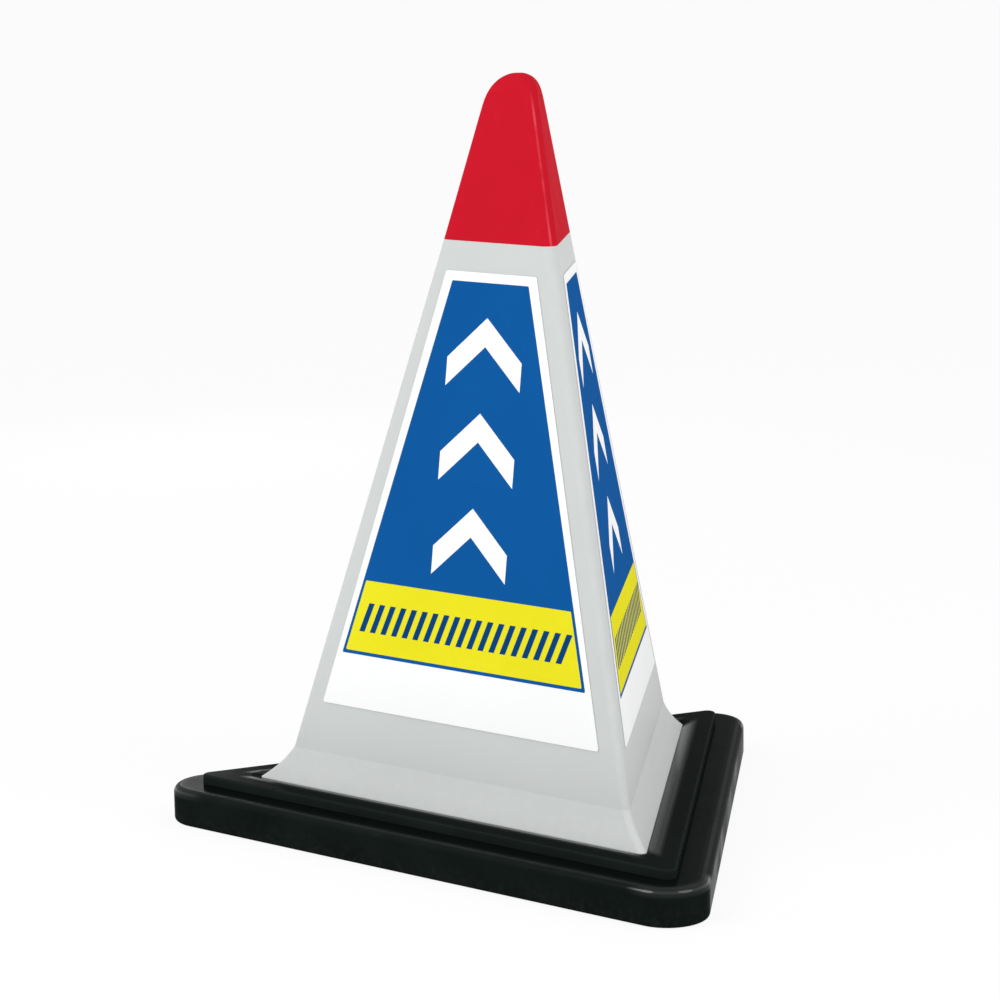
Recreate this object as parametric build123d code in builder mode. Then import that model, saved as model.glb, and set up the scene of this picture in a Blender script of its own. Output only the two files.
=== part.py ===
from build123d import *
import math
import os

# Three-sided sign pyramid on a weighted triangular base. Millimetres, +Z up.
# The origin is the middle of the base's bounding rectangle, on the floor. The front face looks along -Y.
# The plan is an equilateral triangle, sized by apothems: the distance from the upright axis to a side.

# Overall
sides = 3
slab_apothem = 187.0
total_height = 700.0

# Weighted slab
slab_height = 34.8
slab_corner_radius = 37.0
slab_top_round = 7.0
slab_bottom_round = 4.0
slab_seat = 20.0          # slab left under the body, inwards of its foot
slab_opening_radius = 18.0
slab_opening_bevel = 3.0

# Retaining frame, drawn down round the body's foot by screws from below
slab_strip = 28.5         # slab top left bare outside the frame
frame_height = 8.8
frame_top_width = 20.0
frame_corner_radius = 8.0
frame_edge_round = 2.0
lip_reach = 9.0           # sloped lip that runs in over the body's flange
lip_drop = 1.8
foot_gap = 0.6            # between the lip and the body's foot
flange_gap = 0.5          # round the flange, inside the frame

# Body: hollow tapered shell with a flared foot and a stepped neck
body_wall = 3.0
foot_rim = 7.4            # upright rim between the slab and the flare
foot_corner_radius = 5.0
flange_reach = 7.5
flange_thickness = 3.0
flare_height = 30.3
flare_reach = 16.3
flare_hollow = 1.5        # depth of the flare's concave curve
shoulder_apothem = 39.5   # of the leaning faces, at the cap's lower edge
low_corner_radius = 5.0
high_corner_radius = 9.4
neck_height = 38.0
neck_ledge = 4.0          # wall kept under the neck's shoulder
neck_bevel = 1.2

# Cap
cap_height = 149.0
cap_wall = 2.6
cap_clearance = 0.4
crown_height = 35.0       # height over which the taper runs out into the dome
crown_steps = 7           # sections that the dome is drawn through
ridge_fullness = 3.5      # how late the three corners bend over to the top
face_fullness = 6.0       # how late the faces between them do
crown_closure = 0.985     # share of the dome's curve that is drawn, which leaves a small flat on top
crown_roundness = 0.97    # largest corner radius as a share of the apothem

# Sign sheets
sheet_thickness = 1.0
sheet_low_margin = 46.5   # above the flare
sheet_high_margin = 27.0  # below the cap
sheet_side_margin = 24.8  # from the lines where the leaning faces would meet
sheet_corner_radius = 2.0

# Screws and washers sunk in the slab's underside, threaded inserts in the frame's corners
screw_inset = 33.0        # inwards of the points where the frame's sides would meet
screw_shank_diameter = 5.0
screw_head_diameter = 9.4
screw_head_height = 2.8
screw_head_round = 1.6
screw_tip_gap = 0.3       # from the screw's end to the insert's far end
screw_hole_clearance = 0.3
socket_across_corners = 3.4
socket_sides = 6
socket_depth = 1.6
counterbore_diameter = 14.0
counterbore_depth = 7.0
washer_diameter = 12.0
washer_thickness = 1.0
insert_diameter = 8.0
insert_length = 6.5
insert_groove_depth = 0.6
insert_groove_width = 2.0
thread_clearance = 0.05
insert_clearance = 0.02
insert_hole_spare = 0.8   # drill depth left above the insert

# Heights and apothems that follow from the sizes above
frame_apothem = slab_apothem - slab_strip
frame_top = slab_height + frame_height
frame_inner_apothem = frame_apothem - frame_top_width
lip_apothem = frame_inner_apothem - lip_reach
lip_bottom = slab_height + flange_thickness
lip_edge_top = frame_top - lip_drop
foot_apothem = lip_apothem - foot_gap
flange_apothem = foot_apothem + flange_reach
flange_corner_radius = foot_corner_radius + flange_reach
slab_opening_apothem = foot_apothem - slab_seat
flare_bottom = slab_height + foot_rim
flare_top = flare_bottom + flare_height
flare_top_apothem = foot_apothem - flare_reach
cap_line = total_height - cap_height
neck_top = cap_line + neck_height
crown_start = total_height - crown_height

# The faces lean in evenly from the flare to the dome.
face_slope = (flare_top_apothem - shoulder_apothem) / (cap_line - flare_top)
lean = math.atan(face_slope)

# A triangle's points lie further out than its sides, so the axis stands forward of the origin.
point_reach = 1 / math.cos(math.pi / sides)
side_reach = math.tan(math.pi / sides)
slab_tip = slab_apothem * point_reach - slab_corner_radius * (point_reach - 1)
axis_y = (slab_apothem - slab_tip) / 2
back_point = 90
side_turn = 360 / sides


def level(height):
    return Plane(origin=(0, axis_y, height))


def rounded_triangle(apothem, corner):
    with BuildSketch() as outline:
        RegularPolygon(apothem, sides, major_radius=False, rotation=back_point)
        fillet(outline.vertices(), corner)
    return outline.sketch


def across_wall(wall):
    return wall / math.cos(lean)


def face_apothem(height):
    return flare_top_apothem - (height - flare_top) * face_slope


def face_corner(height):
    share = (height - flare_top) / (cap_line - flare_top)
    return low_corner_radius + (high_corner_radius - low_corner_radius) * share


def flare_sections(inset):
    steps = 3
    chord = math.hypot(flare_reach, flare_height)
    sections = []
    for step in range(steps + 1):
        share = step / steps
        sag = 4 * flare_hollow * share * (1 - share)
        apothem = foot_apothem - flare_reach * share - sag * flare_height / chord
        height = flare_bottom + flare_height * share - sag * flare_reach / chord
        corner = foot_corner_radius + (low_corner_radius - foot_corner_radius) * share
        wall = inset * chord / flare_height
        if step == steps:
            wall = across_wall(inset)
        sections.append((height, apothem - wall, corner - inset))
    return sections


def taper_section(height, inset):
    apothem = face_apothem(height) - across_wall(inset)
    return rounded_triangle(apothem, high_corner_radius - inset)


def crown_section(height, share, inset):
    apothem = face_apothem(height) - across_wall(inset)
    ridge = apothem * point_reach - (high_corner_radius - inset) * (point_reach - 1)
    bend = share * crown_closure
    domed_ridge = ridge * math.sqrt(1 - bend ** ridge_fullness)
    domed_apothem = apothem * math.sqrt(1 - bend ** face_fullness)
    corner = (domed_apothem * point_reach - domed_ridge) / (point_reach - 1)
    return rounded_triangle(domed_apothem, min(corner, crown_roundness * domed_apothem))


def domed_taper(inset):
    with BuildPart() as taper:
        for height in (cap_line, crown_start):
            with BuildSketch(level(height)):
                add(taper_section(height, inset))
        loft(ruled=True)
        for step in range(crown_steps + 1):
            share = math.sin(math.pi / 2 * step / crown_steps)
            height = crown_start + share * (crown_height - inset)
            with BuildSketch(level(height)):
                add(crown_section(height, share, inset))
        loft()
    return taper.part


os.makedirs("parts", exist_ok=True)

# Weighted slab: a solid three-sided ring that the body stands on, open in the middle.
# Counterbored holes at its corners take the frame's screws from below.
screw_circle = frame_apothem * point_reach - screw_inset
underside = Plane(origin=(0, axis_y, 0), x_dir=(1, 0, 0), z_dir=(0, 0, -1))
with BuildPart() as base_slab:
    with BuildSketch(level(0)):
        add(rounded_triangle(slab_apothem, slab_corner_radius))
    extrude(amount=slab_height)
    fillet(base_slab.faces().sort_by(Axis.Z)[-1].edges(), slab_top_round)
    fillet(base_slab.faces().sort_by(Axis.Z)[0].edges(), slab_bottom_round)
    with BuildSketch(level(0)):
        add(rounded_triangle(slab_opening_apothem, slab_opening_radius))
    extrude(amount=slab_height, mode=Mode.SUBTRACT)
    chamfer(base_slab.faces().sort_by(Axis.Z)[0].inner_wires().edges(), slab_opening_bevel)
    with Locations(underside):
        with PolarLocations(screw_circle, sides, start_angle=-back_point):
            CounterBoreHole(
                screw_shank_diameter / 2 + screw_hole_clearance,
                counterbore_diameter / 2,
                counterbore_depth,
            )

# Threaded inserts set flush in the frame's underside.
groove_bottom = slab_height + (insert_length - insert_groove_width) / 2
thread_radius = screw_shank_diameter / 2 + thread_clearance
with BuildPart() as thread_inserts:
    with BuildSketch(level(slab_height)):
        with PolarLocations(screw_circle, sides, start_angle=back_point):
            Circle(insert_diameter / 2)
            Circle(thread_radius, mode=Mode.SUBTRACT)
    extrude(amount=insert_length)
    with BuildSketch(level(groove_bottom)):
        with PolarLocations(screw_circle, sides, start_angle=back_point):
            Circle(insert_diameter / 2)
            Circle(insert_diameter / 2 - insert_groove_depth, mode=Mode.SUBTRACT)
    extrude(amount=insert_groove_width, mode=Mode.SUBTRACT)

# Retaining frame: a three-sided ring whose sloped lip clamps the body's flange to the slab.
flange_pocket_apothem = flange_apothem + flange_gap
flange_pocket_radius = flange_corner_radius + flange_gap
lip_corner_radius = foot_corner_radius + foot_gap
lip_edge = lip_edge_top - lip_bottom
lip_angle = math.degrees(math.atan2(lip_reach, lip_drop))
with BuildPart() as retaining_frame:
    with BuildSketch(level(slab_height)):
        add(rounded_triangle(frame_apothem, frame_corner_radius))
    extrude(amount=frame_height)
    fillet(retaining_frame.faces().sort_by(Axis.Z)[-1].edges(), frame_edge_round)
    with BuildSketch(level(slab_height)):
        add(rounded_triangle(flange_pocket_apothem, flange_pocket_radius))
    extrude(amount=flange_thickness, mode=Mode.SUBTRACT)
    with BuildSketch(level(lip_bottom)):
        add(rounded_triangle(lip_apothem, lip_corner_radius))
    extrude(amount=lip_edge, mode=Mode.SUBTRACT)
    with BuildSketch(level(lip_edge_top)):
        add(rounded_triangle(lip_apothem, lip_corner_radius))
    extrude(amount=lip_drop, taper=-lip_angle, mode=Mode.SUBTRACT)
    with BuildSketch(level(slab_height)):
        with PolarLocations(screw_circle, sides, start_angle=back_point):
            Circle(insert_diameter / 2 + insert_clearance)
    extrude(amount=insert_length + insert_hole_spare, mode=Mode.SUBTRACT)

# Washers and button-head screws, sunk in the slab's underside.
washer_bottom = counterbore_depth - washer_thickness
head_bottom = washer_bottom - screw_head_height
screw_length = slab_height + insert_length - screw_tip_gap - washer_bottom
with BuildPart() as frame_washers:
    with BuildSketch(level(washer_bottom)):
        with PolarLocations(screw_circle, sides, start_angle=back_point):
            Circle(washer_diameter / 2)
            Circle(screw_shank_diameter / 2 + screw_hole_clearance, mode=Mode.SUBTRACT)
    extrude(amount=washer_thickness)

with BuildPart() as frame_screws:
    with BuildSketch(level(head_bottom)):
        with PolarLocations(screw_circle, sides, start_angle=back_point):
            Circle(screw_head_diameter / 2)
    extrude(amount=screw_head_height)
    fillet(frame_screws.faces().filter_by(Axis.Z).group_by(Axis.Z)[0].edges(), screw_head_round)
    with BuildSketch(level(head_bottom)):
        with PolarLocations(screw_circle, sides, start_angle=back_point):
            RegularPolygon(socket_across_corners / 2, socket_sides)
    extrude(amount=socket_depth, mode=Mode.SUBTRACT)
    with BuildSketch(level(washer_bottom)):
        with PolarLocations(screw_circle, sides, start_angle=back_point):
            Circle(screw_shank_diameter / 2)
    extrude(amount=screw_length)

# Body shell: flange, upright rim, concave flare, three leaning faces, neck stepped in by the cap's wall.
neck_step = across_wall(cap_wall) + cap_clearance
ledge_bottom = cap_line - neck_ledge
rim_wall = foot_apothem - flare_sections(body_wall)[0][1]
inner_wall = across_wall(body_wall)
with BuildPart() as body_shell:
    with BuildSketch(level(slab_height)):
        add(rounded_triangle(flange_apothem, flange_corner_radius))
    extrude(amount=flange_thickness)
    with BuildSketch(level(slab_height)):
        add(rounded_triangle(foot_apothem, foot_corner_radius))
    extrude(amount=foot_rim)
    for height, apothem, corner in flare_sections(0):
        with BuildSketch(level(height)):
            add(rounded_triangle(apothem, corner))
    loft()
    for height in (flare_top, cap_line):
        with BuildSketch(level(height)):
            add(rounded_triangle(face_apothem(height), face_corner(height)))
    loft(ruled=True)
    for height in (cap_line, neck_top):
        neck_apothem = face_apothem(height) - neck_step
        with BuildSketch(level(height)):
            add(rounded_triangle(neck_apothem, high_corner_radius - cap_wall))
    loft(ruled=True)
    chamfer(body_shell.faces().sort_by(Axis.Z)[-1].edges(), neck_bevel)
    with BuildSketch(level(slab_height)):
        add(rounded_triangle(foot_apothem - rim_wall, foot_corner_radius - body_wall))
    extrude(amount=foot_rim, mode=Mode.SUBTRACT)
    for height, apothem, corner in flare_sections(body_wall):
        with BuildSketch(level(height)):
            add(rounded_triangle(apothem, corner))
    loft(mode=Mode.SUBTRACT)
    for height in (flare_top, ledge_bottom):
        inner_apothem = face_apothem(height) - inner_wall
        with BuildSketch(level(height)):
            add(rounded_triangle(inner_apothem, face_corner(height) - body_wall))
    loft(ruled=True, mode=Mode.SUBTRACT)
    for height in (ledge_bottom, neck_top):
        bore_apothem = face_apothem(height) - neck_step - inner_wall
        with BuildSketch(level(height)):
            add(rounded_triangle(bore_apothem, high_corner_radius - cap_wall - body_wall))
    loft(ruled=True, mode=Mode.SUBTRACT)

# Cap: carries the taper on and runs out into the dome. It drops over the body's neck.
cap_outside = domed_taper(0)
cap_hollow = domed_taper(cap_wall)
with BuildPart() as cap:
    add(cap_outside)
    add(cap_hollow, mode=Mode.SUBTRACT)

pieces = {
    "base_slab": base_slab,
    "thread_inserts": thread_inserts,
    "retaining_frame": retaining_frame,
    "frame_washers": frame_washers,
    "frame_screws": frame_screws,
    "body_shell": body_shell,
    "cap": cap,
}

# Sign sheets: one flat sheet bonded to each leaning face, its sides parallel to the pyramid's corners.
sheet_bottom = flare_top + sheet_low_margin
sheet_top = cap_line - sheet_high_margin
for place, side in enumerate(("front", "right", "left")):
    turn = place * side_turn
    across = Vector(1, 0, 0).rotate(Axis.Z, turn)
    outward = Vector(0, -math.cos(lean), math.sin(lean)).rotate(Axis.Z, turn)
    foot_point = Vector(0, -face_apothem(0), 0).rotate(Axis.Z, turn) + Vector(0, axis_y, 0)
    low_half = face_apothem(sheet_bottom) * side_reach - sheet_side_margin
    high_half = face_apothem(sheet_top) * side_reach - sheet_side_margin
    low_edge = sheet_bottom / math.cos(lean)
    high_edge = sheet_top / math.cos(lean)
    with BuildPart() as sign_sheet:
        with BuildSketch(Plane(origin=foot_point, x_dir=across, z_dir=outward)) as outline:
            with BuildLine():
                Polyline(
                    (-low_half, low_edge),
                    (low_half, low_edge),
                    (high_half, high_edge),
                    (-high_half, high_edge),
                    close=True,
                )
            make_face()
            fillet(outline.vertices(), sheet_corner_radius)
        extrude(amount=sheet_thickness)
    pieces["sign_sheet_" + side] = sign_sheet

for name, piece in pieces.items():
    piece.part.label = name
    export_step(piece.part, "parts/" + name + ".step")
    print(name, "volume %.1f cm3" % (piece.part.volume / 1000))
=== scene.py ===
import math
import bmesh
import bpy
from mathutils import Matrix, Vector


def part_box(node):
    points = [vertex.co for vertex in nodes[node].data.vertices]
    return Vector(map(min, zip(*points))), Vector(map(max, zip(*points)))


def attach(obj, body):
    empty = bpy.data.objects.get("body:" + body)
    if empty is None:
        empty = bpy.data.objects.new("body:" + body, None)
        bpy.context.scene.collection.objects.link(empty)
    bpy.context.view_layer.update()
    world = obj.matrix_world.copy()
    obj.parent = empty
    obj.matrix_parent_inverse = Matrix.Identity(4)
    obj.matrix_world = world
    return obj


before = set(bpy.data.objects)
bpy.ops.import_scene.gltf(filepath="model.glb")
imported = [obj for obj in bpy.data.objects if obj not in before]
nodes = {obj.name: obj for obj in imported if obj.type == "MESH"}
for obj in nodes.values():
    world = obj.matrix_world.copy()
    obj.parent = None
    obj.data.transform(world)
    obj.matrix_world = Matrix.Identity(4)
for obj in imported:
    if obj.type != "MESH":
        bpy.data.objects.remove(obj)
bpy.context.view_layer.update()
scene = bpy.context.scene
# the pyramid's upright axis stands in front of the frame's origin, and its right and left sides look backward
pyramid = {"axis": Vector((0, -0.075, 0)), "backTurn": math.radians(30)}
# each side's sheet, the way it faces, and how far its yellow band sits above the front's
signSides = {
    "Front": {"sheet": "sign_sheet_front", "turn": math.radians(270), "bandShift": 0.0},
    "Right": {"sheet": "sign_sheet_right", "turn": math.radians(30), "bandShift": -0.009},
    "Left": {"sheet": "sign_sheet_left", "turn": math.radians(150), "bandShift": 0.0},
}
facingShare = 0.9  # a sheet's outer face looks at least this much along its side's direction
print("frame loaded:", len(nodes), "nodes")


# a sheet's outer plane: x across, y up the face, z outwards, y counted from the floor
def sheetPlane(name, turn):
    mesh = nodes[name].data
    away = Vector((math.cos(turn), math.sin(turn), 0))
    outer = [face for face in mesh.polygons if face.normal.dot(away) > facingShare]
    outward = sum((face.normal * face.area for face in outer), Vector()).normalized()
    reach = max(vertex.co.dot(outward) for vertex in mesh.vertices)
    across = Vector((0, 0, 1)).cross(outward).normalized()
    plane = Matrix((across, outward.cross(across), outward)).transposed().to_4x4()
    plane.translation = pyramid["axis"] + away * ((reach - outward.dot(pyramid["axis"])) / outward.dot(away))
    return plane


# node helpers, used by the materials and by the sign marks
def addNode(tree, kind, inputs, **settings):
    node = tree.nodes.new(kind)
    for key, value in settings.items():
        setattr(node, key, value)
    for key, value in inputs.items():
        if isinstance(value, bpy.types.NodeSocket):
            tree.links.new(value, node.inputs[key])
        else:
            node.inputs[key].default_value = value
    return node


def maths(tree, operation, *values):
    return addNode(tree, "ShaderNodeMath", dict(enumerate(values)), operation=operation).outputs[0]


def hypotenuse(tree, first, second):
    squares = [maths(tree, "MULTIPLY", leg, leg) for leg in (first, second)]
    return maths(tree, "SQRT", maths(tree, "ADD", *squares))


def fade(tree, value, start, end, low=0.0, high=1.0):
    limits = {"Value": value, "From Min": start, "From Max": end, "To Min": low, "To Max": high}
    return addNode(tree, "ShaderNodeMapRange", limits, interpolation_type="SMOOTHSTEP").outputs[0]


def cloud(tree, vector, size, detail, roughness=0.55):
    scale = maths(tree, "DIVIDE", 1.0, size)
    inputs = {"Vector": vector, "Scale": scale, "Detail": detail, "Roughness": roughness}
    return addNode(tree, "ShaderNodeTexNoise", inputs).outputs[0]


# blotches of a cloud, bare below start and full above end
def blotches(tree, vector, size, start, end, **form):
    return fade(tree, cloud(tree, vector, size, **form), start, end)


def mixColours(tree, share, first, second):
    inputs = {0: share, 6: first, 7: second}  # the Mix node's factor and its pair of colours
    return addNode(tree, "ShaderNodeMix", inputs, data_type="RGBA").outputs[2]


def startGroup(name, *sizes):
    tree = bpy.data.node_groups.new(name, "ShaderNodeTree")
    tree.interface.new_socket(name="Vector", in_out="INPUT", socket_type="NodeSocketVector")
    for label in sizes:
        tree.interface.new_socket(name=label, in_out="INPUT", socket_type="NodeSocketFloat")
    return tree, tree.nodes.new("NodeGroupInput").outputs


def endGroup(tree, **results):
    for label in results:
        tree.interface.new_socket(name=label, in_out="OUTPUT", socket_type="NodeSocketFloat")
    ends = tree.nodes.new("NodeGroupOutput").inputs
    for label, value in results.items():
        tree.links.new(value, ends[label])
    return tree


def useGroup(tree, group, vector, **sizes):
    return addNode(tree, "ShaderNodeGroup", {"Vector": vector, **sizes}, node_tree=group).outputs


# fine moulded skin, and broad uneven patches
skinForm = {"grainDetail": 2.0, "patches": {"detail": 4.0, "start": 0.3, "end": 0.7}}


def buildMouldedSkin():
    tree, given = startGroup("mouldedSkin", "Grain", "Patch")
    grain = cloud(tree, given["Vector"], given["Grain"], skinForm["grainDetail"])
    mottle = blotches(tree, given["Vector"], given["Patch"], **skinForm["patches"])
    return endGroup(tree, Height=grain, Mottle=mottle)


# a point's distances from the axis towards the three sides, the most and the middle one, and its height
def buildSideReach():
    tree, given = startGroup("sideReach")
    points = {0: given["Vector"], 1: pyramid["axis"]}
    offAxis = addNode(tree, "ShaderNodeVectorMath", points, operation="SUBTRACT").outputs[0]
    axes = addNode(tree, "ShaderNodeSeparateXYZ", {0: offAxis}).outputs
    front = maths(tree, "MULTIPLY", axes["Y"], -1.0)
    backward = maths(tree, "MULTIPLY", axes["Y"], math.sin(pyramid["backTurn"]))
    right = maths(tree, "MULTIPLY_ADD", axes["X"], math.cos(pyramid["backTurn"]), backward)
    left = maths(tree, "MULTIPLY_ADD", axes["X"], -math.cos(pyramid["backTurn"]), backward)
    most = maths(tree, "MAXIMUM", front, maths(tree, "MAXIMUM", right, left))
    least = maths(tree, "MINIMUM", front, maths(tree, "MINIMUM", right, left))
    middle = maths(tree, "MULTIPLY", maths(tree, "ADD", most, least), -1.0)  # the three add up to nothing
    return endGroup(tree, Most=most, Middle=middle, Height=axes["Z"])


# rubbed strips along the pyramid's three corners, where two sides are equally far; on the cap the strip is a
# painted highlight line that fades out towards the top
cornerForm = {"full": 0.1, "topFade": 0.96, "breaks": {"detail": 5.0, "start": 0.35, "end": 0.65}}


def buildCornerWearAndHighlight():
    tree, given = startGroup("cornerWearAndHighlight", "Width", "Patch", "Top")
    reach = useGroup(tree, sideReach, given["Vector"])
    offCorner = maths(tree, "SUBTRACT", reach["Most"], reach["Middle"])
    strip = fade(tree, maths(tree, "DIVIDE", offCorner, given["Width"]), 1.0, cornerForm["full"])
    below = fade(tree, maths(tree, "DIVIDE", reach["Height"], given["Top"]), 1.0, cornerForm["topFade"])
    broken = blotches(tree, given["Vector"], given["Patch"], **cornerForm["breaks"])
    return endGroup(tree, Mask=maths(tree, "MULTIPLY", maths(tree, "MULTIPLY", strip, below), broken))


# a three-sided rim with round corners: its rubbed line, partly wear and partly a painted edge highlight, the
# plain line, which carries a painted highlight and a gloss, its bends and what lies inside it, where a
# painted shade darkens the top
rimForm = {
    "full": 0.2, "haloReach": 2.6, "haloShare": 0.35, "bendStart": -0.5,
    "breaks": {"detail": 5.0, "start": 0.4, "end": 0.62},
}


def buildRimWearAndPaintedLight():
    tree, given = startGroup("rimWearAndPaintedLight", "Apothem", "Corner", "Height", "Width", "Patch")
    reach = useGroup(tree, sideReach, given["Vector"])
    straight = maths(tree, "SUBTRACT", given["Apothem"], given["Corner"])
    outwards = maths(tree, "MAXIMUM", maths(tree, "SUBTRACT", reach["Most"], straight), 0.0)
    nextSide = maths(tree, "SUBTRACT", reach["Middle"], straight)
    past = maths(tree, "MULTIPLY_ADD", outwards, math.sin(pyramid["backTurn"]), nextSide)
    around = maths(tree, "DIVIDE", maths(tree, "MAXIMUM", past, 0.0), math.cos(pyramid["backTurn"]))
    sideways = maths(tree, "SUBTRACT", hypotenuse(tree, outwards, around), given["Corner"])
    upwards = maths(tree, "SUBTRACT", reach["Height"], given["Height"])
    distance = maths(tree, "DIVIDE", hypotenuse(tree, sideways, upwards), given["Width"])
    line = fade(tree, distance, 1.0, rimForm["full"])
    halo = maths(tree, "MULTIPLY", fade(tree, distance, rimForm["haloReach"], 1.0), rimForm["haloShare"])
    broken = blotches(tree, given["Vector"], given["Patch"], **rimForm["breaks"])
    return endGroup(
        tree,
        Mask=maths(tree, "MULTIPLY", line, broken),
        Line=maths(tree, "MAXIMUM", line, halo),
        Bend=fade(tree, maths(tree, "DIVIDE", past, given["Corner"]), rimForm["bendStart"], 0.0),
        Inside=fade(tree, maths(tree, "DIVIDE", sideways, given["Width"]), 0.0, -1.0),
    )


# a band that runs along all three sides, full at its inner edge, and stops short of the corners
bandForm = {"cornerStart": 0.3}


def buildSideBand():
    tree, given = startGroup("sideBand", "Inner", "Outer", "Corner")
    reach = useGroup(tree, sideReach, given["Vector"])
    offCorner = maths(tree, "SUBTRACT", reach["Most"], reach["Middle"])
    along = fade(tree, maths(tree, "DIVIDE", offCorner, given["Corner"]), bandForm["cornerStart"], 1.0)
    band = fade(tree, reach["Most"], given["Outer"], given["Inner"])
    return endGroup(tree, Mask=maths(tree, "MULTIPLY", band, along))


# dust that thins out upwards from the floor
dustSpeckle = {"detail": 6.0, "roughness": 0.7, "start": 0.42, "end": 0.72}


def buildFloorDust():
    tree, given = startGroup("floorDust", "Reach", "Patch")
    axes = addNode(tree, "ShaderNodeSeparateXYZ", {0: given["Vector"]}).outputs
    low = fade(tree, maths(tree, "DIVIDE", axes["Z"], given["Reach"]), 1.0, 0.0)
    speckle = blotches(tree, given["Vector"], given["Patch"], **dustSpeckle)
    return endGroup(tree, Mask=maths(tree, "MULTIPLY", low, speckle))


# thin scratches in sparse patches, along the edges of bent cells
scuffForm = {
    "bendScale": 9.0, "bendDetail": 2.0, "lineEdge": 0.012, "lineCore": 0.002,
    "patches": {"detail": 3.0, "start": 0.52, "end": 0.68},
}


def buildHandScuffs():
    tree, given = startGroup("handScuffs", "Spread", "Patch")
    bendForm = {"Scale": scuffForm["bendScale"], "Detail": scuffForm["bendDetail"]}
    bend = addNode(tree, "ShaderNodeTexNoise", {"Vector": given["Vector"], **bendForm}).outputs["Color"]
    bent = addNode(tree, "ShaderNodeVectorMath", {0: given["Vector"], 1: bend}, operation="ADD").outputs[0]
    cellInputs = {"Vector": bent, "Scale": maths(tree, "DIVIDE", 1.0, given["Spread"])}
    cells = addNode(tree, "ShaderNodeTexVoronoi", cellInputs, feature="DISTANCE_TO_EDGE").outputs["Distance"]
    lines = fade(tree, cells, scuffForm["lineEdge"], scuffForm["lineCore"])
    sparse = blotches(tree, given["Vector"], given["Patch"], **scuffForm["patches"])
    return endGroup(tree, Mask=maths(tree, "MULTIPLY", lines, sparse))


mouldedSkin = buildMouldedSkin()
sideReach = buildSideReach()
cornerWearAndHighlight = buildCornerWearAndHighlight()
rimWearAndPaintedLight = buildRimWearAndPaintedLight()
sideBand = buildSideBand()
floorDust = buildFloorDust()
handScuffs = buildHandScuffs()
print("shader groups built")


def startMaterial(name):
    material = bpy.data.materials.new(name)
    material.use_nodes = True
    tree = material.node_tree
    place = tree.nodes.new("ShaderNodeTexCoord").outputs["Object"]
    return material, tree, tree.nodes["Principled BSDF"].inputs, place


def skinAndScuffs(tree, place, look):
    skin = useGroup(tree, mouldedSkin, place, Grain=look["grain"], Patch=look["patch"])
    scuffs = useGroup(tree, handScuffs, place, Spread=look["scratchSpread"], Patch=look["patch"])
    return skin, scuffs["Mask"]


def tinted(colour, share=1.0):
    return tuple(part * share for part in colour) + (1.0,)


def unevenColour(tree, skin, look):
    dark, light = (tinted(look["colour"], tone) for tone in look["tones"])
    return mixColours(tree, skin["Mottle"], dark, light)


def overlay(tree, colour, mask, share, shade):
    return mixColours(tree, maths(tree, "MULTIPLY", mask, share), colour, tinted(shade))


# how much a scratch dulls a finish, and how deep it cuts into a moulded skin
scratchForm = {"dulling": 0.18, "sink": -0.6}


def setSurface(tree, shader, look, colour, skin, height, scuffs):
    uneven = fade(tree, skin["Mottle"], 0.0, 1.0, *look["roughness"])
    scratched = maths(tree, "MULTIPLY_ADD", scuffs, scratchForm["dulling"], uneven)
    bumpInputs = {"Height": height, "Strength": look["bump"], "Distance": look["depth"]}
    bump = addNode(tree, "ShaderNodeBump", bumpInputs).outputs[0]
    tree.links.new(colour, shader["Base Color"])
    tree.links.new(scratched, shader["Roughness"])
    tree.links.new(bump, shader["Normal"])


# a clear gloss, weak on top: full along the lip, or in a line round the rim that glints in its bends
def setCoat(tree, shader, look, place, rim):
    if "lip" in look:
        edge = useGroup(tree, sideBand, place, **look["lip"])["Mask"]
    else:
        glint = useGroup(tree, rimWearAndPaintedLight, place, **look["glint"])
        bends = maths(tree, "MULTIPLY", glint["Line"], glint["Bend"])
        bends = maths(tree, "MULTIPLY", bends, look["glintGloss"])
        line = maths(tree, "MULTIPLY", rim["Line"], look["lineGloss"])
        edge = maths(tree, "MAXIMUM", bends, line)
    top = maths(tree, "MULTIPLY", rim["Inside"], look["topGloss"])
    tree.links.new(maths(tree, "MAXIMUM", top, edge), shader["Coat Weight"])
    shader["Coat Roughness"].default_value = look["glossRoughness"]
    shader["Coat IOR"].default_value = look["glossIor"]


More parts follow.
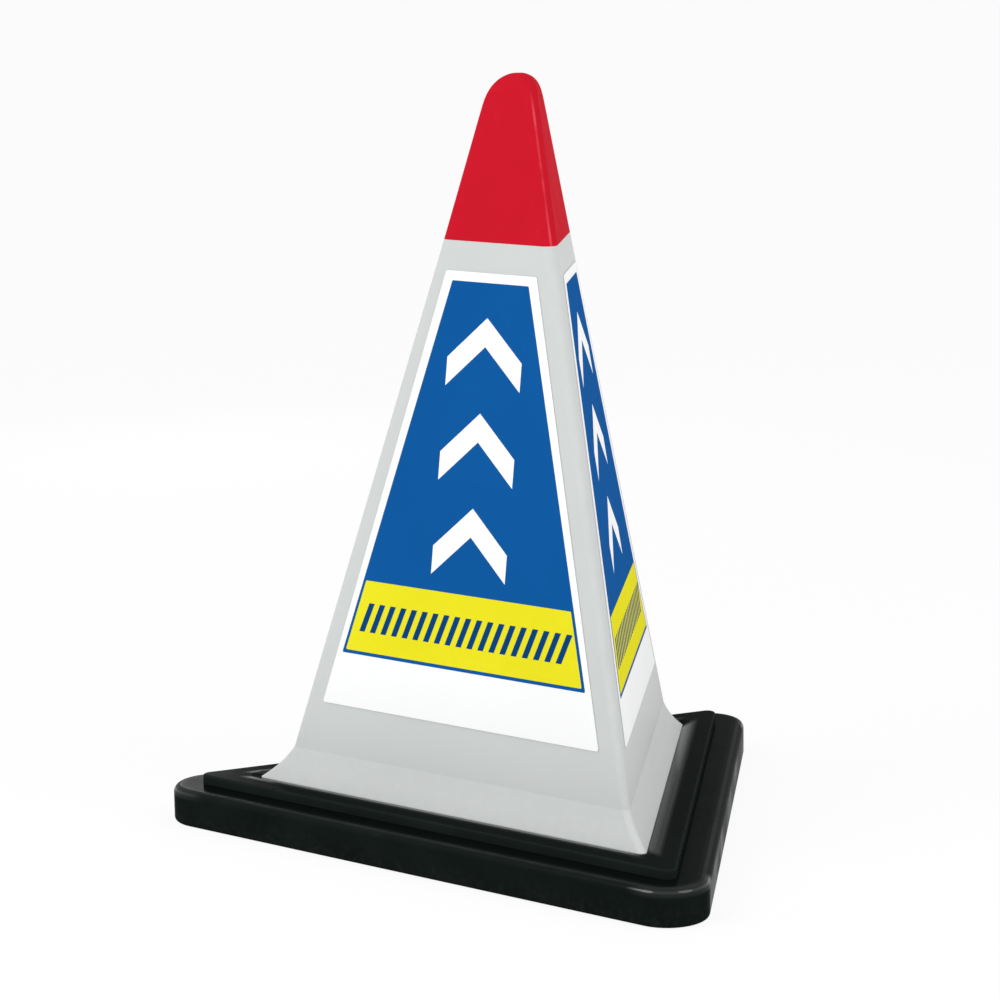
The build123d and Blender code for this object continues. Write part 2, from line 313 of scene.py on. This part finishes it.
# moulded plastic and rubber: skin, uneven tone, rubbed corners or rim with a painted highlight on the cap's
# corners and the slab's rim, a painted shade on the slab's and frame's tops, scratches and floor dust
def mouldedMaterial(name, look):
    material, tree, shader, place = startMaterial(name)
    skin, scuffs = skinAndScuffs(tree, place, look)
    dust = useGroup(tree, floorDust, place, **look["dustSpread"])["Mask"]
    colour = unevenColour(tree, skin, look)
    if "rim" in look:
        rim = useGroup(tree, rimWearAndPaintedLight, place, **look["rim"])
        wearAndHighlight = rim["Mask"]
        # inside the rim the colour is painted darker: a painted shade on the top
        colour = mixColours(tree, rim["Inside"], colour, tinted(look["colour"], look["paintedTopShade"]))
        # a painted highlight along the rim's line, in the light rubbed colour
        if "paintedHighlightShare" in look:
            colour = overlay(tree, colour, rim["Line"], look["paintedHighlightShare"], look["wearAndHighlight"])
        setCoat(tree, shader, look, place, rim)
    else:
        wearAndHighlight = useGroup(tree, cornerWearAndHighlight, place, **look["corners"])["Mask"]
    # rubbed corners or rim: on the cap's corners a painted highlight, along the slab's and frame's rim partly
    # wear and partly a painted edge highlight
    colour = overlay(tree, colour, wearAndHighlight, look["wearAndHighlightShare"], look["wearAndHighlight"])
    colour = overlay(tree, colour, scuffs, look["scratchShare"], look["wearAndHighlight"])
    colour = overlay(tree, colour, dust, look["dustShare"], look["dust"])
    height = maths(tree, "MULTIPLY_ADD", scuffs, scratchForm["sink"], skin["Height"])
    setSurface(tree, shader, look, colour, skin, height, scuffs)
    shader["Specular IOR Level"].default_value = look["specular"]
    return material


# a sheet's cut edges, which lie below its outer plane
def cutEdges(tree, place, edge):
    reach = useGroup(tree, sideReach, place)
    upwards = maths(tree, "MULTIPLY", reach["Height"], edge["up"])
    outwards = maths(tree, "MULTIPLY_ADD", reach["Most"], edge["out"], upwards)
    return fade(tree, maths(tree, "SUBTRACT", edge["reach"], outwards), edge["start"], edge["end"])


# printed film: faint ripple, ink a little uneven, few scratches and floor dust
def filmMaterial(name, look):
    material, tree, shader, place = startMaterial(name)
    skin, scuffs = skinAndScuffs(tree, place, look)
    dust = useGroup(tree, floorDust, place, **look["dustSpread"])["Mask"]
    colour = unevenColour(tree, skin, look)
    colour = overlay(tree, colour, scuffs, look["scratchShare"], look["wearAndHighlight"])
    colour = overlay(tree, colour, dust, look["dustShare"], look["dust"])
    if "edge" in look:
        colour = mixColours(tree, cutEdges(tree, place, look["edge"]), colour, tinted(look["edge"]["colour"]))
    setSurface(tree, shader, look, colour, skin, skin["Height"], scuffs)
    shader["Specular IOR Level"].default_value = look["specular"]
    return material


# turned metal: fine tool marks, patchy dulling and bright scratches
def metalMaterial(name, look):
    material, tree, shader, place = startMaterial(name)
    skin, scuffs = skinAndScuffs(tree, place, look)
    colour = mixColours(tree, scuffs, unevenColour(tree, skin, look), tinted(look["wearAndHighlight"]))
    setSurface(tree, shader, look, colour, skin, skin["Height"], scuffs)
    shader["Metallic"].default_value = 1.0
    return material


# looks, in metres: tones and roughness are the least and the most over the surface
bodyLook = {
    "colour": (0.612, 0.635, 0.623), "wearAndHighlight": (0.72, 0.73, 0.72), "dust": (0.40, 0.38, 0.35),
    "tones": (0.988, 1.012), "patch": 0.11, "roughness": (0.39, 0.49), "specular": 0.05,
    "grain": 0.0009, "bump": 0.18, "depth": 0.00018,
    "corners": {"Width": 0.010, "Patch": 0.02, "Top": 0.70}, "wearAndHighlightShare": 0.22,
    "scratchSpread": 0.03, "scratchShare": 0.25,
    "dustSpread": {"Reach": 0.11, "Patch": 0.012}, "dustShare": 0.16,
}
bodyGrey = mouldedMaterial("bodyGrey", bodyLook)

capLook = {
    # the cap's lighter red is mostly a painted highlight line along its corners, and also colours scratches
    "colour": (0.575, 0.0105, 0.0245), "wearAndHighlight": (0.78, 0.085, 0.11), "dust": (0.50, 0.08, 0.09),
    "tones": (0.98, 1.02), "patch": 0.07, "roughness": (0.53, 0.63), "specular": 0.004,
    "grain": 0.0008, "bump": 0.15, "depth": 0.00016,
    "corners": {"Width": 0.003, "Patch": 0.05, "Top": 0.69}, "wearAndHighlightShare": 0.9,
    "scratchSpread": 0.025, "scratchShare": 0.25,
    "dustSpread": {"Reach": 0.60, "Patch": 0.012}, "dustShare": 0.10,
}
capRed = mouldedMaterial("capRed", capLook)

slabLow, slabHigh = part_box("base_slab")
slabSide = pyramid["axis"].y - slabLow.y  # from the axis to the slab's front
slabLook = {
    "colour": (0.0070, 0.0102, 0.0090), "wearAndHighlight": (0.03, 0.034, 0.032), "dust": (0.05, 0.048, 0.043),
    "tones": (0.85, 1.15), "patch": 0.06, "roughness": (0.19, 0.29), "specular": 0.001,
    "grain": 0.0014, "bump": 0.10, "depth": 0.00028,
    "rim": {
        "Apothem": slabSide - 0.0055, "Height": slabHigh.z - 0.0003, "Corner": 0.0315,
        "Width": 0.0035, "Patch": 0.02,
    },
    # a painted highlight along the rim's line and a painted shade that darkens the top
    "wearAndHighlightShare": 0.25, "paintedHighlightShare": 0.3, "paintedTopShade": 0.5,
    "scratchSpread": 0.024, "scratchShare": 0.30,
    "dustSpread": {"Reach": 0.030, "Patch": 0.006}, "dustShare": 0.15,
    "glossRoughness": 0.08, "glossIor": 1.5, "topGloss": 0.013, "lineGloss": 0.06, "glintGloss": 0.75,
    "glint": {"Apothem": slabSide - 0.0012, "Height": slabHigh.z - 0.0031, "Corner": 0.0358, "Width": 0.0025},
}
slabBlack = mouldedMaterial("slabBlack", slabLook)

frameLow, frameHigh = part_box("retaining_frame")
frameSide = pyramid["axis"].y - frameLow.y  # from the axis to the frame's front
frameLook = {
    "colour": (0.0135, 0.0185, 0.0168), "wearAndHighlight": (0.03, 0.033, 0.032), "dust": (0.05, 0.047, 0.043),
    "tones": (0.88, 1.12), "patch": 0.05, "roughness": (0.20, 0.28), "specular": 0.0005,
    "grain": 0.0007, "bump": 0.06, "depth": 0.00014,
    "rim": {"Apothem": frameSide, "Height": frameHigh.z, "Corner": 0.008, "Width": 0.003, "Patch": 0.008},
    # the top is painted darker as painted shade, and the rubbed rim is partly a painted edge highlight
    "wearAndHighlightShare": 0.12, "paintedTopShade": 0.45,
    "scratchSpread": 0.02, "scratchShare": 0.30,
    "dustSpread": {"Reach": 0.045, "Patch": 0.005}, "dustShare": 0.16,
    "glossRoughness": 0.16, "glossIor": 1.2, "topGloss": 0.008,
    "lip": {"Inner": 0.130, "Outer": 0.145, "Corner": 0.022},
}
frameBlack = mouldedMaterial("frameBlack", frameLook)

sheetLook = {
    "colour": (0.955, 0.96, 0.96), "wearAndHighlight": (0.80, 0.80, 0.79), "dust": (0.66, 0.64, 0.60),
    "tones": (0.992, 1.008), "patch": 0.10, "roughness": (0.52, 0.60), "specular": 0.001,
    "grain": 0.004, "bump": 0.10, "depth": 0.0002,
    "scratchSpread": 0.03, "scratchShare": 0.35,
    "dustSpread": {"Reach": 0.17, "Patch": 0.010}, "dustShare": 0.10,
}
# the cut edges look like the body; the three sheets lie alike about the axis, so the front's plane serves all
frontPlane = sheetPlane(signSides["Front"]["sheet"], signSides["Front"]["turn"])
squareOut = frontPlane.col[2].to_3d()
sheetEdge = {
    "reach": squareOut.dot(frontPlane.translation - pyramid["axis"]),
    "out": squareOut.xy.length, "up": squareOut.z,
    "start": 0.0001, "end": 0.0003, "colour": bodyLook["colour"],
}
printLook = dict(sheetLook, scratchShare=0.3)
blueLook = dict(printLook, colour=(0.0055, 0.0965, 0.335), wearAndHighlight=(0.06, 0.19, 0.46), tones=(0.97, 1.03))
yellowLook = dict(printLook, colour=(0.833, 0.767, 0.019), wearAndHighlight=(0.86, 0.82, 0.30), tones=(0.98, 1.02))
inkLook = dict(printLook, colour=(0.004, 0.055, 0.20), wearAndHighlight=(0.05, 0.12, 0.30), tones=(0.95, 1.05))
sheetWhite = filmMaterial("sheetWhite", dict(sheetLook, edge=sheetEdge))
filmBlue = filmMaterial("filmBlue", blueLook)
filmYellow = filmMaterial("filmYellow", yellowLook)
inkBlue = filmMaterial("inkBlue", inkLook)

screwLook = {
    "colour": (0.055, 0.056, 0.06), "wearAndHighlight": (0.30, 0.30, 0.31),
    "tones": (0.8, 1.15), "patch": 0.004, "roughness": (0.34, 0.50),
    "grain": 0.0003, "bump": 0.2, "depth": 0.00006, "scratchSpread": 0.003,
}
screwSteel = metalMaterial("screwSteel", screwLook)

brassLook = {
    "colour": (0.65, 0.46, 0.18), "wearAndHighlight": (0.80, 0.62, 0.30),
    "tones": (0.8, 1.15), "patch": 0.005, "roughness": (0.26, 0.42),
    "grain": 0.0004, "bump": 0.2, "depth": 0.00008, "scratchSpread": 0.004,
}
insertBrass = metalMaterial("insertBrass", brassLook)

finishes = {
    "base_slab": slabBlack,
    "retaining_frame": frameBlack,
    "body_shell": bodyGrey,
    "cap": capRed,
    "frame_screws": screwSteel,
    "frame_washers": screwSteel,
    "thread_inserts": insertBrass,
    "sign_sheet_front": sheetWhite,
    "sign_sheet_right": sheetWhite,
    "sign_sheet_left": sheetWhite,
}
for name, material in finishes.items():
    nodes[name].data.materials[0] = material
print("materials on", len(finishes), "nodes")


printSink = -0.00005  # all print reaches a hair into the sheet


def upFace(plane, height):
    return height / plane[2][1]


def softCorners(points, radius, steps=4):
    outline = []
    for index, corner in enumerate(points):
        before = (points[index - 1] - corner).normalized()
        after = (points[(index + 1) % len(points)] - corner).normalized()
        halfAngle = before.angle(after) / 2
        centre = corner + (before + after).normalized() * (radius / math.sin(halfAngle))
        run = radius / math.tan(halfAngle)
        first, last = corner + before * run - centre, corner + after * run - centre
        arc = [first.lerp(last, step / steps).normalized() for step in range(steps + 1)]
        outline += [centre + spoke * radius for spoke in arc]
    return outline


def addPiece(name, mesh, material):
    mesh.materials.append(material)
    piece = bpy.data.objects.new(name, mesh)
    scene.collection.objects.link(piece)
    return piece


def rideSheet(piece):
    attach(piece, "body")


# a closed thin film in the sheet's plane
def filmPiece(name, outline, rise, plane, material):
    shape = bmesh.new()
    under = [shape.verts.new((point.x, point.y, printSink)) for point in outline]
    over = [shape.verts.new((point.x, point.y, rise)) for point in outline]
    shape.faces.new(list(reversed(under)))
    shape.faces.new(over)
    for index in range(len(outline)):
        shape.faces.new((under[index - 1], under[index], over[index], over[index - 1]))
    mesh = bpy.data.meshes.new(name)
    shape.to_mesh(mesh)
    shape.free()
    mesh.transform(plane)
    rideSheet(addPiece(name, mesh, material))


# rows of flat marks: bend turns a bar into a chevron, slant leans it over
def buildMarkTree():
    tree = bpy.data.node_groups.new("signMarks", "GeometryNodeTree")
    inputs = {
        "Count": "NodeSocketInt", "Start": "NodeSocketVector", "Step": "NodeSocketVector",
        "Size": "NodeSocketVector", "Bend": "NodeSocketFloat", "Slant": "NodeSocketFloat",
        "Film": "NodeSocketMaterial",
    }
    for label, kind in inputs.items():
        tree.interface.new_socket(name=label, in_out="INPUT", socket_type=kind)
    tree.interface.new_socket(name="Geometry", in_out="OUTPUT", socket_type="NodeSocketGeometry")
    given = tree.nodes.new("NodeGroupInput").outputs
    # a middle row of points lets the bar bend
    bar = addNode(tree, "GeometryNodeMeshCube", {"Size": given["Size"], "Vertices X": 3}).outputs["Mesh"]
    position = tree.nodes.new("GeometryNodeInputPosition").outputs[0]
    axes = addNode(tree, "ShaderNodeSeparateXYZ", {0: position}).outputs
    drop = maths(tree, "MULTIPLY", maths(tree, "ABSOLUTE", axes["X"]), given["Bend"])
    lean = maths(tree, "MULTIPLY", axes["Y"], given["Slant"])
    moves = {"X": lean, "Y": maths(tree, "MULTIPLY", drop, -1.0)}
    offset = addNode(tree, "ShaderNodeCombineXYZ", moves).outputs[0]
    mark = addNode(tree, "GeometryNodeSetPosition", {"Geometry": bar, "Offset": offset}).outputs[0]
    rowInputs = {"Count": given["Count"], "Start Location": given["Start"], "Offset": given["Step"]}
    row = addNode(tree, "GeometryNodeMeshLine", rowInputs, mode="OFFSET").outputs[0]
    marks = addNode(tree, "GeometryNodeInstanceOnPoints", {"Points": row, "Instance": mark}).outputs[0]
    solid = addNode(tree, "GeometryNodeRealizeInstances", {"Geometry": marks}).outputs[0]
    paintInputs = {"Geometry": solid, "Material": given["Film"]}
    painted = addNode(tree, "GeometryNodeSetMaterial", paintInputs).outputs[0]
    tree.links.new(painted, tree.nodes.new("NodeGroupOutput").inputs["Geometry"])
    return tree


markTree = buildMarkTree()


def markPiece(name, values, plane):
    startMesh = bpy.data.meshes.new(name + "Start")
    piece = addPiece(name, startMesh, values["Film"])
    modifier = piece.modifiers.new("marks", "NODES")
    modifier.node_group = markTree
    for item in markTree.interface.items_tree:
        if item.in_out == "INPUT":
            modifier[item.identifier] = values[item.name]
    mesh = bpy.data.meshes.new_from_object(piece.evaluated_get(bpy.context.evaluated_depsgraph_get()))
    piece.modifiers.remove(modifier)
    mesh.name = name
    mesh.transform(plane)
    piece.data = mesh
    bpy.data.meshes.remove(startMesh)
    rideSheet(piece)


# the field that tapers up the sheet, in metres: heights above the floor and half widths
blueField = {
    "bottom": 0.168, "bottomHalf": 0.1388, "top": 0.5155, "topHalf": 0.0429,
    "corner": 0.0012, "rise": 0.00012,
}


def halfAt(height):
    share = (height - blueField["bottom"]) / (blueField["top"] - blueField["bottom"])
    return blueField["bottomHalf"] + (blueField["topHalf"] - blueField["bottomHalf"]) * share


def fieldOutline(plane, low, high, inset, lowShift, highShift):
    lowHalf, highHalf = halfAt(low) - inset, halfAt(high) - inset
    lowEdge, highEdge = upFace(plane, low + lowShift), upFace(plane, high + highShift)
    corners = [(-lowHalf, lowEdge), (lowHalf, lowEdge), (highHalf, highEdge), (-highHalf, highEdge)]
    return softCorners([Vector(corner) for corner in corners], blueField["corner"])


def addBlueField(side, plane, bandShift):
    outline = fieldOutline(plane, blueField["bottom"], blueField["top"], 0.0, bandShift, 0.0)
    filmPiece("blueField" + side, outline, blueField["rise"], plane, filmBlue)


# the band at the field's foot, which leaves a thin blue outline round it
yellowBand = {"top": 0.2366, "outline": 0.0032, "rise": 0.00022}


def addYellowBand(side, plane, bandShift):
    low = blueField["bottom"] + yellowBand["outline"]
    outline = fieldOutline(plane, low, yellowBand["top"], yellowBand["outline"], bandShift, bandShift)
    filmPiece("yellowBand" + side, outline, yellowBand["rise"], plane, filmYellow)


# white chevrons up the blue field
chevrons = {
    "count": 3, "pitch": 0.085, "lowest": 0.283,
    "width": 0.084, "arm": 0.026, "bend": 0.9, "rise": 0.00022,
}


def addChevrons(side, plane):
    drop = chevrons["bend"] * chevrons["width"] / 2  # from a chevron's point to its ends
    low = upFace(plane, chevrons["lowest"]) + drop / 2
    markPiece("chevrons" + side, {
        "Count": chevrons["count"],
        "Start": (0.0, low, (chevrons["rise"] + printSink) / 2),
        "Step": (0.0, upFace(plane, chevrons["pitch"]), 0.0),
        "Size": (chevrons["width"], chevrons["arm"], chevrons["rise"] - printSink),
        "Bend": chevrons["bend"],
        "Slant": 0.0,
        "Film": sheetWhite,
    }, plane)


# slanted bars along the yellow band
bandBars = {
    "count": 19, "pitch": 0.0125, "middle": 0.203,
    "width": 0.0062, "height": 0.027, "slant": 0.36, "rise": 0.00032,
}


def addBandBars(side, plane, bandShift):
    rowStart = -bandBars["pitch"] * (bandBars["count"] - 1) / 2
    middle = upFace(plane, bandBars["middle"] + bandShift)
    markPiece("bandBars" + side, {
        "Count": bandBars["count"],
        "Start": (rowStart, middle, (bandBars["rise"] + printSink) / 2),
        "Step": (bandBars["pitch"], 0.0, 0.0),
        "Size": (bandBars["width"], bandBars["height"], bandBars["rise"] - printSink),
        "Bend": 0.0,
        "Slant": bandBars["slant"],
        "Film": inkBlue,
    }, plane)


for side, facts in signSides.items():
    plane = sheetPlane(facts["sheet"], facts["turn"])
    addBlueField(side, plane, facts["bandShift"])
    addYellowBand(side, plane, facts["bandShift"])
    addChevrons(side, plane)
    addBandBars(side, plane, facts["bandShift"])
print("sign print on", len(signSides), "sides")


# studio: pale floor, white surround, soft lamps at the front and the right and a small one behind
studio = {
    "floorSize": 90.0, "floorDrop": 0.0004, "floorColour": (0.96, 0.96, 0.96, 1.0), "floorGlow": 0.9,
    "surround": 0.67, "surroundColour": (1.0, 1.0, 1.0, 1.0), "aim": (0.0, 0.0, 0.32),
}
lamps = {
    "keyLamp": {"spot": (-0.9, -2.2, 2.0), "size": 1.6, "power": 29.0},
    "fillLamp": {"spot": (2.0, 0.05, 1.9), "size": 1.6, "power": 17.5},
    "backLamp": {"spot": (-1.88, 1.41, 0.70), "size": 0.35, "power": 2.8},
}


def seenDirectly(tree):
    path = tree.nodes.new("ShaderNodeLightPath").outputs
    seen = maths(tree, "MAXIMUM", path["Is Camera Ray"], path["Is Glossy Ray"])
    return maths(tree, "MAXIMUM", seen, path["Is Transmission Ray"])


def buildFloor():
    half, drop = studio["floorSize"] / 2, -studio["floorDrop"]
    corners = [(-half, -half, drop), (half, -half, drop), (half, half, drop), (-half, half, drop)]
    mesh = bpy.data.meshes.new("floor")
    mesh.from_pydata(corners, [], [(0, 1, 2, 3)])
    material = bpy.data.materials.new("floorPale")
    material.use_nodes = True
    tree = material.node_tree
    tree.nodes.clear()
    matt = addNode(tree, "ShaderNodeBsdfDiffuse", {"Color": studio["floorColour"]}).outputs[0]
    glow = addNode(tree, "ShaderNodeEmission", {"Strength": 1.0}).outputs[0]
    share = maths(tree, "MULTIPLY", seenDirectly(tree), studio["floorGlow"])
    mixed = addNode(tree, "ShaderNodeMixShader", {0: share, 1: matt, 2: glow}).outputs[0]
    addNode(tree, "ShaderNodeOutputMaterial", {"Surface": mixed})
    addPiece("floor", mesh, material)


def buildSurround():
    world = bpy.data.worlds.new("surround")
    world.use_nodes = True
    scene.world = world
    tree = world.node_tree
    level = maths(tree, "MULTIPLY_ADD", seenDirectly(tree), 1.0 - studio["surround"], studio["surround"])
    shade = tree.nodes["Background"].inputs
    shade["Color"].default_value = studio["surroundColour"]
    tree.links.new(level, shade["Strength"])


def addLamp(name, spot, size, power):
    lamp = bpy.data.lights.new(name, "AREA")
    lamp.shape = "DISK"
    lamp.size = size
    lamp.energy = power
    holder = bpy.data.objects.new(name, lamp)
    holder.location = spot
    holder.rotation_euler = (Vector(studio["aim"]) - Vector(spot)).to_track_quat("-Z", "Y").to_euler()
    scene.collection.objects.link(holder)


buildFloor()
buildSurround()
for name, values in lamps.items():
    addLamp(name, **values)
scene.view_settings.view_transform = "Standard"
print("studio lit")

# the photograph's viewpoint, fitted to the sign's corners, the foot and the base
view = {
    "azimuth": 37.366, "elevation": 11.071, "roll": -0.869,
    "distance": 3.0818, "target": (-0.01755, -0.0884, 0.31032), "lens": 120.78,
}


def addCamera():
    turn, rise, roll = (math.radians(view[key]) for key in ("azimuth", "elevation", "roll"))
    right = Vector((math.cos(turn), math.sin(turn), 0))
    back = Vector((math.sin(turn) * math.cos(rise), -math.cos(turn) * math.cos(rise), math.sin(rise)))
    up = back.cross(right)
    across = right * math.cos(roll) + up * math.sin(roll)
    place = Matrix((across, back.cross(across), back)).transposed().to_4x4()
    place.translation = Vector(view["target"]) + back * view["distance"]
    lens = bpy.data.cameras.new("photoCamera")
    lens.lens = view["lens"]
    camera = bpy.data.objects.new("photoCamera", lens)
    camera.matrix_world = place
    scene.collection.objects.link(camera)
    scene.camera = camera


addCamera()
print("camera placed")
